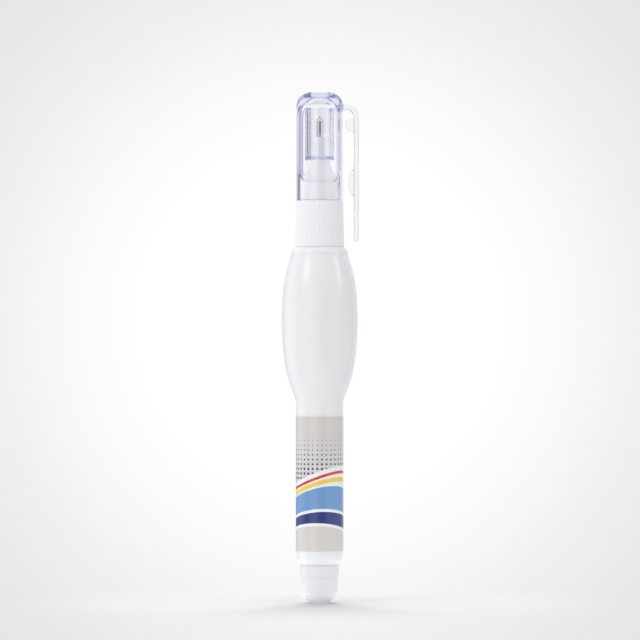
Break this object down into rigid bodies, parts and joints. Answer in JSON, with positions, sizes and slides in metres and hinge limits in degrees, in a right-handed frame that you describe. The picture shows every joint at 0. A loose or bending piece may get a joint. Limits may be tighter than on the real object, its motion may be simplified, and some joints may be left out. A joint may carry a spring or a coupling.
{
  "type": "correction pen",
  "caption": "Squeeze-bulb correction pen with a clear clipped cap, ribbed collar, needle-valve metal tip, labelled barrel and loose mixing ball.",
  "frame": {"origin": "centre of the flat on the tail plug's end", "axes": "+Z along the pen's axis towards the cap, +X towards the clip, -Y the front"},
  "size_m": [0.0211, 0.0208, 0.14],
  "materials": {
    "barrel_plastic": "satin white squeeze plastic",
    "plug_plastic": "satin white moulded plastic",
    "label_film": "printed glossy film",
    "collar_plastic": "satin white ribbed plastic",
    "nozzle_plastic": "white moulded plastic",
    "valve_plastic": "natural moulded plastic",
    "gasket_rubber": "matt",
    "spring_steel": "drawn wire",
    "tip_steel": "turned and polished",
    "ball_steel": "polished",
    "clear_plastic": "clear violet-tinted plastic"
  },
  "bodies": {
    "pen_body": {"barrel": "barrel_plastic", "tail_plug": "plug_plastic", "label": "label_film", "grip_collar": "collar_plastic", "neck_gasket": "gasket_rubber", "nozzle": "nozzle_plastic", "spring_retainer": "valve_plastic", "valve_spring": "spring_steel", "metal_tip": "tip_steel"},
    "needle": {"valve_needle": "spring_steel", "needle_holder": "valve_plastic"},
    "mixing_ball": {"mixing_ball": "ball_steel"},
    "cap": {"cap": "clear_plastic", "seal_sleeve": "clear_plastic"},
    "clip": {"clip": "clear_plastic"}
  },
  "joints": [
    {"name": "cap_pull", "type": "slide", "parent": "pen_body", "child": "cap", "axis": [0, 0, 1], "range_m": [0, 0.04]},
    {"name": "clip_flex", "type": "hinge", "parent": "cap", "child": "clip", "pos_m": [0.00667, 0, 0.13578], "axis": [0, -1, 0], "range_deg": [0, 5], "stiffness_Nm_per_rad": 0.8},
    {"name": "needle_press", "type": "slide", "parent": "pen_body", "child": "needle", "axis": [0, 0, -1], "range_m": [0, 0.0004], "stiffness_N_per_m": 600, "springref_m": -0.0005, "deforming": ["valve_spring"]},
    {"name": "ball_shake", "type": "slide", "parent": "pen_body", "child": "mixing_ball", "axis": [0, 0, 1], "range_m": [0, 0.0783]}
  ]
}
